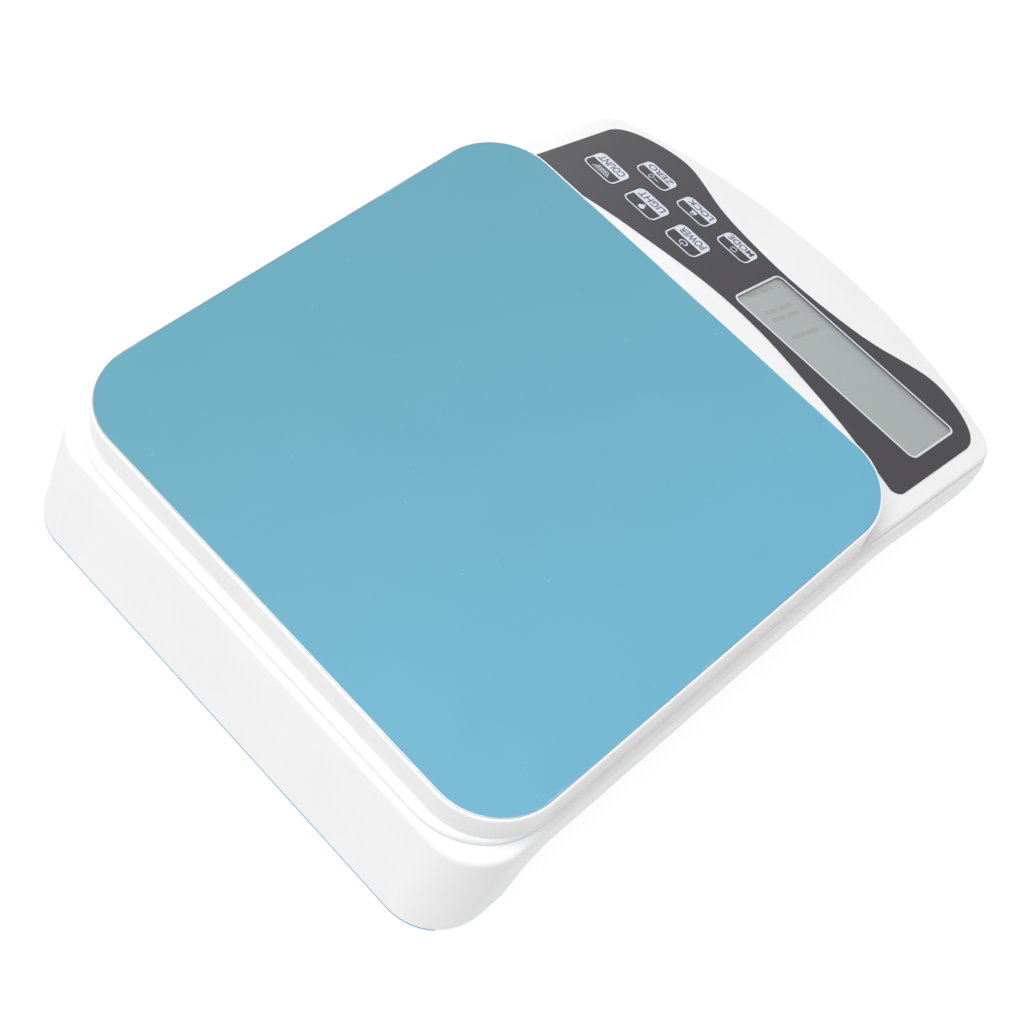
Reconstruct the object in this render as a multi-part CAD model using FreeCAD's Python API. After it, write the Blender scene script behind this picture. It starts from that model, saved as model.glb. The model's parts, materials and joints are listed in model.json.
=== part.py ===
import FreeCAD
import Part

import os
from math import asin, cos, degrees, radians, sin, sqrt, tan

# Digital gram scale: a low bench scale with a lift-off weighing platform at the back and a sloped
# control panel at the front. Millimetres. +X is the user's right, +Y points away from the user,
# +Z is up, and the origin is on the bench under the middle of the scale.

Vector = FreeCAD.Vector
UP = Vector(0, 0, 1)

# ---- driving dimensions -------------------------------------------------------------------------
WALL = 2.4                      # moulded wall of the housing
RUN = 0.15                      # gap round each key

PLATFORM_Y = 36.9               # middle of the weighing platform
FILM_X, FILM_Y, FILM_R = 180.0, 174.4, 21.5
FILM_T = 0.2
FILM_TOP = 51.0
PLATE_MARGIN = 0.25             # the steel plate shows this much outside its film
PLATE_T = 1.0
PLATE_GAP = 0.05
PAN_MARGIN = 1.2                # the pan's side stands this far outside the film
PAN_BOTTOM = 44.6
PAN_ROOF = 2.5
PAN_SKIRT = 2.2
PAN_RIM_R = 0.75
PAN_RIB_X, PAN_RIB_Y, PAN_RIB_T, PAN_RIB_DEPTH = 30.0, 25.0, 1.6, 2.0
COLLAR_TOP_MARGIN, COLLAR_FOOT_MARGIN = 1.0, 1.65
COLLAR_W = 1.8                  # a tapered collar on the plinth rises to just under the pan
COLLAR_GAP = 0.4
COLLAR_FOOT_Z = 33.0

PLINTH_Z = 39.0                 # top of the plinth under the pan
PLINTH_X, PLINTH_BACK, PLINTH_R = 91.65, 128.55, 25.5
STEP = 2.0                      # the plinth and panel stand this much above the ledge round them
SHOULDER_R = 1.6
PLINTH_EDGE_R = 1.0
BODY_X, BODY_BOTTOM_X = 93.4, 93.0
BODY_BACK, BODY_BOTTOM_BACK = 130.8, 140.1
BODY_BACK_R = 18.5
BODY_FRONT, BODY_FRONT_R = -140.1, 18.0
PLINTH_FRONT_R = 13.0
BOW_R = 200.0                   # the front edge is bowed on this radius
SHOULDER_Z = 35.6
BODY_Z = 2.3                    # lower edge of the housing
BASE_Z = 1.5                    # underside of the base cover
FLOOR_Z = 3.5                   # inside floor of the base cover

SLOPE = 18.0                    # the panel falls towards the user
BREAK_Y = -33.7                 # where the panel's plane meets the plinth's level
BREAK_R = 80.0
PANEL_Y = -50.3                 # rear end of the panel's own frame
PANEL_Z = PLINTH_Z + (PANEL_Y - BREAK_Y) * tan(radians(SLOPE))

ARCH_X = 84.0                   # the side arches reach in to here
ARCH_Z = 22.3                   # top of the arches
ARCH_REAR_FOOT, ARCH_REAR_TOP = 112.9, 104.8
ARCH_FRONT_TOP, ARCH_FRONT_BEND, ARCH_FRONT_FOOT = -47.0, -95.0, -109.0
ARCH_BEND_Z = 3.6
ARCH_BENDS = (40.0, 50.0, 12.0)   # radii of the arch's front foot, front top and rear top

OVERLAY_T = 0.3
OVERLAY_X = 85.3
KEY_W, KEY_PITCH, KEY_R = 14.6, 19.8, 2.7
KEY_PROUD, KEY_TRAVEL = 0.35, 0.4
REAR_KEY_X, FRONT_KEY_X = 30.35, 19.85
REAR_KEYS = ("key_power", "key_light", "key_count")
FRONT_KEYS = ("key_mode", "key_lock", "key_zero")
REAR_KEY_Y, REAR_KEY_H = -41.35, 12.7
FRONT_KEY_Y, FRONT_KEY_H = -58.85, 10.5
KEY_FLANGE = 1.0
KEY_FLANGE_TOP = -WALL - 0.1
PLUNGER_R, PLUNGER_END = 1.5, -3.95
SWITCH_W, SWITCH_H, SWITCH_BUTTON_R = 6.0, 2.1, 1.7

WINDOW_X, WINDOW_Y = -37.3, -49.15
WINDOW_W, WINDOW_H, WINDOW_R = 82.1, 29.5, 3.0
GLASS_W, GLASS_H, GLASS_T = 84.0, 34.0, 2.2
GLASS_TOP = -0.8
GLASS_GAP = 0.2                 # gap round the glass in the housing's opening
LIGHT_T = 2.1
BEZEL_GAP, BEZEL_T = 0.1, 0.9
STRIP_L, STRIP_W = 76.0, 2.0

PCB_TOP, PCB_T = -7.4, 1.4
PCB_HALF_X, PCB_REAR, PCB_FRONT = 86.0, -28.0, -68.0
PCB_SCREWS = [(side * 83.0, y) for side in (-1, 1) for y in (-31.0, -57.0)]
PCB_BOSS_R, PCB_PILOT_R, PCB_SCREW_R, PCB_HEAD_R, PCB_HEAD_H = 2.4, 1.05, 1.0, 2.2, 1.2
CHIP_X, CHIP_Y, CHIP_W, CHIP_T = -40.0, -49.0, 14.0, 1.4
CHIP_LEGS, CHIP_LEG_PITCH, CHIP_LEG_W, CHIP_LEG_REACH = 11, 1.1, 0.4, 1.2
BUZZER_X, BUZZER_Y, BUZZER_R, BUZZER_H = 30.0, -40.0, 4.5, 4.0
PLUG_W, PLUG_L, PLUG_H, PLUG_WALL, PLUG_REAR = 12.0, 6.5, 4.2, 1.1, -29.5

CASE_SCREWS = [(side * x, y) for side in (-1, 1) for x, y in ((70.0, 111.0), (74.0, -62.0))]
CASE_SCREWS.append((0.0, -121.0))
CASE_BOSS_Z = 6.0               # the base cover's screw posts meet the housing's here
CASE_BOSS_R, CASE_POST_R, CASE_PILOT_R, CASE_CLEAR_R = 3.5, 5.0, 1.3, 1.7
CASE_HEAD_R, CASE_HEAD_GAP, CASE_SEAT_T, CASE_SCREW_R = 3.0, 0.3, 1.5, 1.2
FEET = [(side * 70.0, y) for side in (-1, 1) for y in (-96.0, 124.0)]
FOOT_R, FOOT_Z, FOOT_GAP, FOOT_EDGE_R = 6.5, 2.1, 0.05, 0.5
COVER_EDGE, COVER_FIT = 1.0, 0.3  # the cover's underside is set in, and its floor fits in the housing
LIP_X = 88.0                    # the cover shows as a thin line along the back, out to here

DEFLECTION = 0.3                # full-load travel of the load cell's free end
CELL_W, CELL_L, CELL_BOTTOM = 12.7, 80.0, 12.0
CELL_TOP = CELL_BOTTOM + CELL_W
CELL_END = 15.0                 # length of each clamped end
CELL_PAD_Z = 8.0
CELL_HEAD_Z = 5.0               # the cell's screws are sunk this far into the pad
CELL_SCREW_SPREAD = 4.0
CELL_BORE_R, CELL_BORE_Y, CELL_SLOT = 5.2, 9.0, 4.0
M4_R, M4_CLEAR_R, M4_HEAD_R = 2.0, 2.2, 3.5
SPIDER_Z, SPIDER_T = 27.0, 3.0
SPIDER_ARM_Y, SPIDER_ARM_L, SPIDER_ARM_W = 45.0, 126.0, 16.0
SPIDER_SPINE_W = 20.0
SPIDER_END_R = 6.0
POST_X, POST_R, POST_HOLE_R = 55.0, 4.0, 7.0
PAD_R, PAD_T = 6.0, 2.0
STOP_X, STOP_R = 42.0, 3.0
POSTS = [(sx * POST_X, PLATFORM_Y + sy * SPIDER_ARM_Y) for sx in (-1, 1) for sy in (-1, 1)]
STOPS = [(sx * STOP_X, PLATFORM_Y + sy * SPIDER_ARM_Y) for sx in (-1, 1) for sy in (-1, 1)]

AA_R, AA_L, AA_PITCH = 7.2, 50.5, 15.2
BAY_X0, BAY_X1 = -78.0, -18.0   # inside of the battery bay
BAY_Y0, BAY_Y1 = 13.5, 60.3
BAY_ROOF, BAY_WALL = 19.5, 1.5
AA_Z = FLOOR_Z + 0.6 + AA_R     # middle of the battery cells
AA_X0 = (BAY_X0 + BAY_X1 - AA_L) / 2 - 0.5
NIB_R, NIB_L = 2.6, 1.2
CONTACT_T, CONTACT_W, CONTACT_H, LEAF_W = 0.4, 8.0, 10.0, 4.4
CABLE_R, CABLE_BEND, LEAD_R, LEAD_BEND = 1.2, 8.0, 0.8, 6.0
DOOR_X0, DOOR_X1, DOOR_Y0, DOOR_Y1 = -75.7, -20.3, 14.8, 59.0
DOOR_T, DOOR_GAP = 1.6, 0.3
DOOR_Z = BASE_Z + 0.1
CELL_ROWS = [(BAY_Y0 + BAY_Y1) / 2 + i * AA_PITCH for i in (-1, 0, 1)]

PANEL = FreeCAD.Placement(Vector(0, PANEL_Y, PANEL_Z), FreeCAD.Rotation(Vector(1, 0, 0), SLOPE))


# ---- building blocks ----------------------------------------------------------------------------
def box(x0, x1, y0, y1, z0, z1):
    return Part.makeBox(x1 - x0, y1 - y0, z1 - z0, Vector(x0, y0, z0))


def rod(radius, x, y, z0, z1):
    return Part.makeCylinder(radius, z1 - z0, Vector(x, y, z0), UP)


def fuse(shapes):
    first, *rest = shapes
    return first.fuse(rest).removeSplitter() if rest else first


def cut_each(shape, cuts):
    for cut in cuts:
        shape = shape.cut(cut)
    return shape


def group(shapes):
    """Several separate solids that share one node."""
    return Part.makeCompound(shapes)


def start_of(edge):
    return edge.valueAt(edge.FirstParameter)


def end_of(edge):
    return edge.valueAt(edge.LastParameter)


def closed_wire(arcs):
    """A closed wire of arcs, with a straight edge wherever one arc doesn't start where the last ends."""
    edges = []
    for arc, following in zip(arcs, arcs[1:] + arcs[:1]):
        edges.append(arc)
        if end_of(arc).distanceToPoint(start_of(following)) > 1e-6:
            edges.append(Part.makeLine(end_of(arc), start_of(following)))
    return Part.Wire(edges)


def corner_arc(radius, x, y, z, start, end):
    return Part.makeCircle(radius, Vector(x, y, z), UP, start, end)


def rounded_wire(width, depth, radius, x=0.0, y=0.0, z=0.0):
    """Outline of a rectangle with rounded corners, centred on x, y."""
    dx, dy = width / 2 - radius, depth / 2 - radius
    return closed_wire([
        corner_arc(radius, x + dx, y + dy, z, 0, 90),
        corner_arc(radius, x - dx, y + dy, z, 90, 180),
        corner_arc(radius, x - dx, y - dy, z, 180, 270),
        corner_arc(radius, x + dx, y - dy, z, 270, 360),
    ])


def prism(wire, height):
    return Part.Face(wire).extrude(Vector(0, 0, height))


def rounded_plate(width, depth, radius, x, y, z0, z1):
    return prism(rounded_wire(width, depth, radius, x, y, z0), z1 - z0)


def filleted_wire(points, radii):
    """A closed polygon whose corners are rounded by the matching radii; 0 leaves a corner sharp."""
    edges, ends = [], []
    for i, (point, radius) in enumerate(zip(points, radii)):
        before, after = points[i - 1] - point, points[(i + 1) % len(points)] - point
        before.normalize()
        after.normalize()
        if radius == 0:
            ends.append((point, point))
            edges.append(None)
            continue
        half = before.getAngle(after) / 2
        reach = radius / tan(half)
        inward = before + after
        inward.normalize()
        middle = point + inward * (radius / sin(half) - radius)
        first, last = point + before * reach, point + after * reach
        ends.append((first, last))
        edges.append(Part.Arc(first, middle, last).toShape())
    outline = []
    for i, arc in enumerate(edges):
        if arc is not None:
            outline.append(arc)
        outline.append(Part.makeLine(ends[i][1], ends[(i + 1) % len(points)][0]))
    return Part.Wire(outline)


def on_panel(shape):
    """Moves a shape drawn in the panel's own frame (Y up the slope, Z out of the panel) into place."""
    placed = shape.copy()
    placed.Placement = PANEL.multiply(placed.Placement)
    return placed


def bent_tube(points, radius, bend):
    """A round lead along straight runs joined by tangent arcs."""
    edges, last = [], points[0]
    for before, point, after in zip(points, points[1:], points[2:]):
        back, on = before - point, after - point
        back.normalize()
        on.normalize()
        half = back.getAngle(on) / 2
        reach = bend / tan(half)
        inward = back + on
        inward.normalize()
        middle = point + inward * (bend / sin(half) - bend)
        edges.append(Part.makeLine(last, point + back * reach))
        edges.append(Part.Arc(point + back * reach, middle, point + on * reach).toShape())
        last = point + on * reach
    edges.append(Part.makeLine(last, points[-1]))
    path = Part.Wire(edges)
    start = Part.Wire([Part.makeCircle(radius, points[0], points[1] - points[0])])
    return path.makePipeShell([start], True, False)


# ---- housing ------------------------------------------------------------------------------------
def body_wire(half_x, back, back_r, front, front_r, z, bow_r=BOW_R):
    """Plan outline of the housing: straight sides, rounded back corners and a bowed front."""
    bow_y = front + bow_r
    side_x = half_x - front_r
    corner_y = bow_y - sqrt((bow_r - front_r) ** 2 - side_x ** 2)
    bow = degrees(asin(side_x / (bow_r - front_r)))
    return closed_wire([
        corner_arc(back_r, half_x - back_r, back - back_r, z, 0, 90),
        corner_arc(back_r, back_r - half_x, back - back_r, z, 90, 180),
        corner_arc(front_r, -side_x, corner_y, z, 180, 270 - bow),
        corner_arc(bow_r, 0, bow_y, z, 270 - bow, 270 + bow),
        corner_arc(front_r, side_x, corner_y, z, 270 + bow, 360),
    ])


def body_block(inset, z0, z1):
    """The housing's outer form, inset all round: nearly upright sides and a back that leans in."""
    wires = []
    for z in (z0, z1):
        share = (z - BODY_Z) / (SHOULDER_Z - BODY_Z)
        half_x = BODY_BOTTOM_X + share * (BODY_X - BODY_BOTTOM_X)
        back = BODY_BOTTOM_BACK + share * (BODY_BACK - BODY_BOTTOM_BACK)
        wires.append(body_wire(half_x - inset, back - inset, BODY_BACK_R - inset,
                               BODY_FRONT + inset, BODY_FRONT_R - inset, z, BOW_R - inset))
    return Part.makeLoft(wires, True, True)


def below_profile(drop):
    """Everything under the side profile: level at the back, then an easy bend into the slope."""
    level = PLINTH_Z - drop
    reach = BREAK_R * tan(radians(SLOPE / 2))
    far = 160.0
    start = Vector(0, BREAK_Y + reach, level)
    middle = start + Vector(0, -BREAK_R * sin(radians(SLOPE / 2)),
                            BREAK_R * (cos(radians(SLOPE / 2)) - 1))
    end = start + Vector(0, -BREAK_R * sin(radians(SLOPE)), BREAK_R * (cos(radians(SLOPE)) - 1))
    front = Vector(0, -far, level - (BREAK_Y + far) * tan(radians(SLOPE)))
    back, low_back, low_front = Vector(0, far, level), Vector(0, far, -far), Vector(0, -far, -far)
    wire = Part.Wire([
        Part.makeLine(back, start), Part.Arc(start, middle, end).toShape(),
        Part.makeLine(end, front), Part.makeLine(front, low_front),
        Part.makeLine(low_front, low_back), Part.makeLine(low_back, back),
    ])
    solid = Part.Face(wire).extrude(Vector(2 * far, 0, 0))
    solid.translate(Vector(-far, 0, 0))
    return solid


def profile_z(y, drop):
    """Height of that profile at y."""
    level = PLINTH_Z - drop
    reach = BREAK_R * tan(radians(SLOPE / 2))
    run = BREAK_Y + reach - y
    if run <= 0:
        return level
    if run >= BREAK_R * sin(radians(SLOPE)):
        return level + (y - BREAK_Y) * tan(radians(SLOPE))
    return level - BREAK_R + sqrt(BREAK_R ** 2 - run ** 2)


def rim_edges(solid, drop):
    """The edges round the top of a block that was cut to the profile."""
    found = []
    for edge in solid.Edges:
        points = [edge.valueAt(edge.FirstParameter + f * (edge.LastParameter - edge.FirstParameter))
                  for f in (0.0, 0.35, 1.0)]
        on_top = all(abs(p.z - profile_z(p.y, drop)) < 0.02 for p in points)
        across = abs(points[0].y - points[2].y) < 1e-6 and abs(points[0].y) < 60.0
        if on_top and not across:
            found.append(edge)
    return found


def arch_blocks(grow):
    """The two side arches as solid blocks, grown by a wall where the hollow has to clear them."""
    points = [(ARCH_FRONT_FOOT, BODY_Z - 0.1), (ARCH_FRONT_BEND, ARCH_BEND_Z),
              (ARCH_FRONT_TOP, ARCH_Z), (ARCH_REAR_TOP, ARCH_Z), (ARCH_REAR_FOOT, BODY_Z - 0.1)]
    wire = filleted_wire([Vector(0, y, z) for y, z in points], [0, *ARCH_BENDS, 0])
    if grow:
        wire = wire.makeOffset2D(grow)
    depth = 30.0
    right = Part.Face(wire).extrude(Vector(depth, 0, 0))
    left = right.copy()
    right.translate(Vector(ARCH_X - grow, 0, 0))
    left.translate(Vector(grow - ARCH_X - depth, 0, 0))
    return [right, left]


def panel_openings():
    """Openings through the panel for the six keys and the display."""
    cuts = [rounded_plate(GLASS_W + 2 * GLASS_GAP, GLASS_H + 2 * GLASS_GAP, 0.7, WINDOW_X, WINDOW_Y,
                          -2 * WALL, WALL)]
    cuts += [key_plate(x, y, height, RUN, -2 * WALL, WALL) for x, y, height in key_places().values()]
    return [on_panel(cut) for cut in cuts]


def upper_housing():
    top = PLINTH_Z + 1.0
    ledge = body_block(0, BODY_Z, top).common(below_profile(STEP))
    ledge = ledge.makeFillet(SHOULDER_R, rim_edges(ledge, STEP))
    outline = body_wire(PLINTH_X, PLINTH_BACK, PLINTH_R, BODY_FRONT, PLINTH_FRONT_R, BODY_Z)
    island = prism(outline, top - BODY_Z).common(body_block(0, BODY_Z, top)).common(below_profile(0))
    island = island.makeFillet(PLINTH_EDGE_R, rim_edges(island, 0))
    skin = ledge.fuse(island).cut(arch_blocks(0))

    low = BODY_Z - 1.0
    inner_outline = body_wire(PLINTH_X - WALL, PLINTH_BACK - WALL, PLINTH_R - WALL,
                              BODY_FRONT + WALL, PLINTH_FRONT_R, low)
    hollow = body_block(WALL, low, top).common(below_profile(STEP + WALL))
    under_plinth = prism(inner_outline, top - low).common(body_block(WALL, low, top))
    hollow = hollow.fuse(under_plinth.common(below_profile(WALL))).cut(arch_blocks(WALL))
    shell = skin.cut(hollow)

    bosses = [rod(CASE_BOSS_R, x, y, CASE_BOSS_Z, top) for x, y in CASE_SCREWS]
    bosses += [on_panel(rod(PCB_BOSS_R, x, y, PCB_TOP, 0)) for x, y in PCB_SCREWS]
    inside = [boss.common(below_profile(WALL / 2)) for boss in bosses]
    rings = [around_film(COLLAR_FOOT_MARGIN, COLLAR_FOOT_Z),
             around_film(COLLAR_TOP_MARGIN, PAN_BOTTOM - COLLAR_GAP)]
    collar = Part.makeLoft(rings, True, True)
    collar = collar.cut(prism(around_film(COLLAR_TOP_MARGIN - COLLAR_W, 0), FILM_TOP))
    shell = shell.fuse(inside + [collar.cut(below_profile(WALL / 2))])
    holes = [rod(CASE_PILOT_R, x, y, 0, profile_z(y, WALL) - 0.4) for x, y in CASE_SCREWS]
    holes += [on_panel(rod(PCB_PILOT_R, x, y, 2 * PCB_TOP, -WALL)) for x, y in PCB_SCREWS]
    holes += [rod(POST_HOLE_R, x, y, SPIDER_Z, top) for x, y in POSTS]
    return cut_each(shell, holes + panel_openings()).Solids[0]


def base_cover():
    """The closing plate under the scale: floor, screw posts, load-cell pad and battery bay."""
    edge = COVER_EDGE
    skirt = body_wire(BODY_BOTTOM_X - edge, BODY_BOTTOM_BACK - edge, BODY_BACK_R - edge,
                      BODY_FRONT + edge, BODY_FRONT_R - edge, BASE_Z, BOW_R - edge)
    lip = body_wire(BODY_BOTTOM_X, BODY_BOTTOM_BACK, BODY_BACK_R, BODY_FRONT, BODY_FRONT_R, BASE_Z)
    lip_span = box(-LIP_X, LIP_X, BODY_BOTTOM_BACK - 12, BODY_BOTTOM_BACK + 1, BASE_Z, BODY_Z)
    plate = prism(skirt, BODY_Z - BASE_Z).fuse(prism(lip, BODY_Z - BASE_Z).common(lip_span))
    clear, far = WALL + COVER_FIT, ARCH_X + 20
    floor = body_block(clear, BODY_Z, FLOOR_Z).common(box(-90, 90, -122, 145, BODY_Z, FLOOR_Z))
    plate_cut = (ARCH_X, ARCH_FRONT_FOOT + 4, ARCH_REAR_FOOT, BASE_Z, BODY_Z)
    floor_cut = (ARCH_X - clear, ARCH_FRONT_FOOT - clear, ARCH_REAR_FOOT + clear, BODY_Z, FLOOR_Z)
    cuts = []
    for x, front, rear, z0, z1 in (plate_cut, floor_cut):
        cuts += [box(x, far, front, rear, z0, z1), box(-far, -x, front, rear, z0, z1)]
    tray = plate.fuse(floor).cut(cuts)

    posts = [rod(CASE_POST_R, x, y, BASE_Z, CASE_BOSS_Z) for x, y in CASE_SCREWS]
    cell_y, pad_x, pad_y = fixed_end_y(), 12, 11
    pad = box(-pad_x, pad_x, cell_y - pad_y, cell_y + pad_y, BASE_Z, CELL_PAD_Z)
    bay = box(BAY_X0 - BAY_WALL, BAY_X1 + BAY_WALL, BAY_Y0 - BAY_WALL, BAY_Y1 + BAY_WALL,
              BODY_Z, BAY_ROOF + BAY_WALL)
    bay = bay.cut(box(BAY_X0, BAY_X1, BAY_Y0, BAY_Y1, FLOOR_Z, BAY_ROOF))
    tray = tray.fuse(posts + [pad, bay])

    head_hole = CASE_HEAD_R + CASE_HEAD_GAP
    cuts = [rod(head_hole, x, y, 0, CASE_BOSS_Z - CASE_SEAT_T) for x, y in CASE_SCREWS]
    cuts += [rod(CASE_CLEAR_R, x, y, 0, CASE_BOSS_Z + 1) for x, y in CASE_SCREWS]
    cuts += [rod(FOOT_R, x, y, 0, FOOT_Z) for x, y in FEET]
    for dy in screw_offsets():
        cuts.append(rod(M4_HEAD_R + 0.4, 0, cell_y + dy, 0, CELL_HEAD_Z))
        cuts.append(rod(M4_CLEAR_R, 0, cell_y + dy, 0, 2 * CELL_PAD_Z))
    cuts.append(box(DOOR_X0 - DOOR_GAP, DOOR_X1 + DOOR_GAP, DOOR_Y0 - DOOR_GAP, DOOR_Y1 + DOOR_GAP,
                    0, FLOOR_Z + 0.01))
    return cut_each(tray, cuts).Solids[0]


def case_screws():
    """Self-tapping screws; the one at the thin front edge is short."""
    seat, long, short = CASE_BOSS_Z - CASE_SEAT_T, 8.0, 1.5
    screws = []
    for x, y in CASE_SCREWS:
        head = rod(CASE_HEAD_R, x, y, BASE_Z + CASE_HEAD_GAP, seat)
        screws.append(head.fuse(rod(CASE_SCREW_R, x, y, seat, CASE_BOSS_Z + (long if x else short))))
    return group(screws)


def rubber_feet():
    feet = []
    for x, y in FEET:
        foot = rod(FOOT_R - FOOT_GAP, x, y, 0, FOOT_Z)
        feet.append(foot.makeFillet(FOOT_EDGE_R, [e for e in foot.Edges if abs(e.BoundBox.ZMax) < 1e-6]))
    return group(feet)


# ---- control panel ------------------------------------------------------------------------------
def key_places():
    """Each key's centre in the panel's frame, and its height along the slope."""
    places = {}
    for i, (rear, front) in enumerate(zip(REAR_KEYS, FRONT_KEYS)):
        places[rear] = (REAR_KEY_X + i * KEY_PITCH, REAR_KEY_Y, REAR_KEY_H)
        places[front] = (FRONT_KEY_X + i * KEY_PITCH, FRONT_KEY_Y, FRONT_KEY_H)
    return places


def key_plate(x, y, height, grow, z0, z1):
    return rounded_plate(KEY_W + 2 * grow, height + 2 * grow, KEY_R + grow, x, y, z0, z1)


def spline(points):
    curve = Part.BSplineCurve()
    curve.interpolate([Vector(x, y, 0) for x, y in points])
    return curve.toShape()


def panel_overlay():
    """Printed panel skin, waisted in the middle, with openings for the keys and the display."""
    rear_half = [(82.0, -13.4), (70.0, -17.4), (54.0, -22.4), (36.0, -26.3), (18.0, -29.6)]
    front_half = [(OVERLAY_X, -59.0), (82.5, -68.0), (76.0, -73.4), (67.0, -77.2), (59.0, -78.3),
                  (51.0, -76.4), (39.0, -71.6), (18.0, -67.5)]
    rear = rear_half + [(0.0, -30.9)] + [(-x, y) for x, y in reversed(rear_half)]
    front = [(-x, y) for x, y in front_half] + [(0.0, -66.3)] + list(reversed(front_half))
    rear_edge, front_edge = spline(rear), spline(front)
    corner, mid = (OVERLAY_X, -17.4), (OVERLAY_X - 1.1, -14.5)

    def corner_edge(side):
        a, b, c = [Vector(side * x, y, 0) for x, y in (corner, mid, rear_half[0])]
        return Part.Arc(a, b, c).toShape()

    def side_edge(side):
        a, b = [Vector(side * x, y, 0) for x, y in (front_half[0], corner)]
        return Part.makeLine(a, b)

    edges = [rear_edge, corner_edge(1), side_edge(1), front_edge, side_edge(-1), corner_edge(-1)]
    skin = prism(Part.Wire(Part.__sortEdges__(edges)), OVERLAY_T)
    cuts = [rounded_plate(WINDOW_W, WINDOW_H, WINDOW_R, WINDOW_X, WINDOW_Y, -1, 1)]
    cuts += [key_plate(x, y, height, RUN, -1, 1) for x, y, height in key_places().values()]
    return on_panel(skin.cut(cuts))


def display_window():
    fit = 0.05
    return on_panel(rounded_plate(WINDOW_W - 2 * fit, WINDOW_H - 2 * fit, WINDOW_R - fit,
                                  WINDOW_X, WINDOW_Y, 0, OVERLAY_T))


def lcd_glass():
    return on_panel(rounded_plate(GLASS_W, GLASS_H, 0.5, WINDOW_X, WINDOW_Y,
                                  GLASS_TOP - GLASS_T, GLASS_TOP))


def backlight_plate():
    top = GLASS_TOP - GLASS_T - 0.05
    width, depth = GLASS_W - 4, GLASS_H - 8
    return on_panel(rounded_plate(width, depth, 0.5, WINDOW_X, WINDOW_Y, top - LIGHT_T, top))


def lcd_frame():
    """Bezel that locates the glass and clamps it down on the board."""
    top = -WALL - 0.1
    hole, rim = 2 * BEZEL_GAP, 2 * (BEZEL_GAP + BEZEL_T)
    outer = rounded_plate(GLASS_W + rim, GLASS_H + rim, 1.0, WINDOW_X, WINDOW_Y, PCB_TOP, top)
    inner = rounded_plate(GLASS_W + hole, GLASS_H + hole, 0.6, WINDOW_X, WINDOW_Y, PCB_TOP - 1, top + 1)
    return on_panel(outer.cut(inner))


def elastomer_strips():
    """Soft contact strips between the glass and the board, along its two long edges."""
    strips = []
    for side in (-1, 1):
        y = WINDOW_Y + side * (GLASS_H / 2 - 1.2)
        strips.append(on_panel(box(WINDOW_X - STRIP_L / 2, WINDOW_X + STRIP_L / 2,
                                   y - STRIP_W / 2, y + STRIP_W / 2, PCB_TOP, GLASS_TOP - GLASS_T)))
    return group(strips)


def main_pcb():
    board = box(-PCB_HALF_X, PCB_HALF_X, PCB_FRONT, PCB_REAR, PCB_TOP - PCB_T, PCB_TOP)
    return on_panel(board.cut([rod(1.4, x, y, 2 * PCB_TOP, 0) for x, y in PCB_SCREWS]))


def pcb_screws():
    bottom, reach = PCB_TOP - PCB_T, 4.0
    return group([on_panel(rod(PCB_HEAD_R, x, y, bottom - PCB_HEAD_H, bottom).fuse(
        rod(PCB_SCREW_R, x, y, bottom, PCB_TOP + reach))) for x, y in PCB_SCREWS])


def controller_chip():
    """A flat square chip with a row of legs along each side."""
    bottom, half, leg = PCB_TOP - PCB_T, CHIP_W / 2, CHIP_LEG_W / 2
    reach, lift, leg_t = half + CHIP_LEG_REACH, 0.2, 0.6
    pieces = [box(CHIP_X - half, CHIP_X + half, CHIP_Y - half, CHIP_Y + half,
                  bottom - lift - CHIP_T, bottom - lift)]
    for i in range(CHIP_LEGS):
        shift = (i - (CHIP_LEGS - 1) / 2) * CHIP_LEG_PITCH
        x, y = CHIP_X + shift, CHIP_Y + shift
        pieces.append(box(x - leg, x + leg, CHIP_Y - reach, CHIP_Y + reach, bottom - leg_t, bottom))
        pieces.append(box(CHIP_X - reach, CHIP_X + reach, y - leg, y + leg, bottom - leg_t, bottom))
    return on_panel(fuse(pieces))


def buzzer():
    bottom, hole_r, hole_depth = PCB_TOP - PCB_T, 0.8, 1.0
    low = bottom - BUZZER_H
    can = rod(BUZZER_R, BUZZER_X, BUZZER_Y, low, bottom)
    return on_panel(can.cut(rod(hole_r, BUZZER_X, BUZZER_Y, low - 1, low + hole_depth)))


def cable_connector():
    bottom, front = PCB_TOP - PCB_T, PLUG_REAR - PLUG_L
    shell = box(-PLUG_W / 2, PLUG_W / 2, front, PLUG_REAR, bottom - PLUG_H, bottom)
    half = PLUG_W / 2 - PLUG_WALL
    return on_panel(shell.cut(box(-half, half, front + PLUG_WALL, PLUG_REAR - PLUG_WALL,
                                  bottom - PLUG_H - 1, bottom - PLUG_WALL)))


def tact_switches():
    """One snap switch under each key."""
    half, button_top = SWITCH_W / 2, PLUNGER_END - KEY_TRAVEL - 0.05
    switches = []
    for x, y, _ in key_places().values():
        case = box(x - half, x + half, y - half, y + half, PCB_TOP, PCB_TOP + SWITCH_H)
        switches.append(on_panel(case.fuse(rod(SWITCH_BUTTON_R, x, y, PCB_TOP, button_top))))
    return group(switches)


def key(x, y, height):
    """A key: flat cap, a flange that stops it under the panel, and a plunger over its switch."""
    cap = key_plate(x, y, height, 0, KEY_FLANGE_TOP, KEY_PROUD)
    rim = [e for e in cap.Edges if abs(e.BoundBox.ZMin - KEY_PROUD) < 1e-6]
    cap = cap.makeFillet(0.1, rim)
    flange = key_plate(x, y, height, KEY_FLANGE, KEY_FLANGE_TOP - 1.0, KEY_FLANGE_TOP)
    plunger = rod(PLUNGER_R, x, y, PLUNGER_END, KEY_FLANGE_TOP)
    return on_panel(fuse([cap, flange, plunger]))


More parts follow.
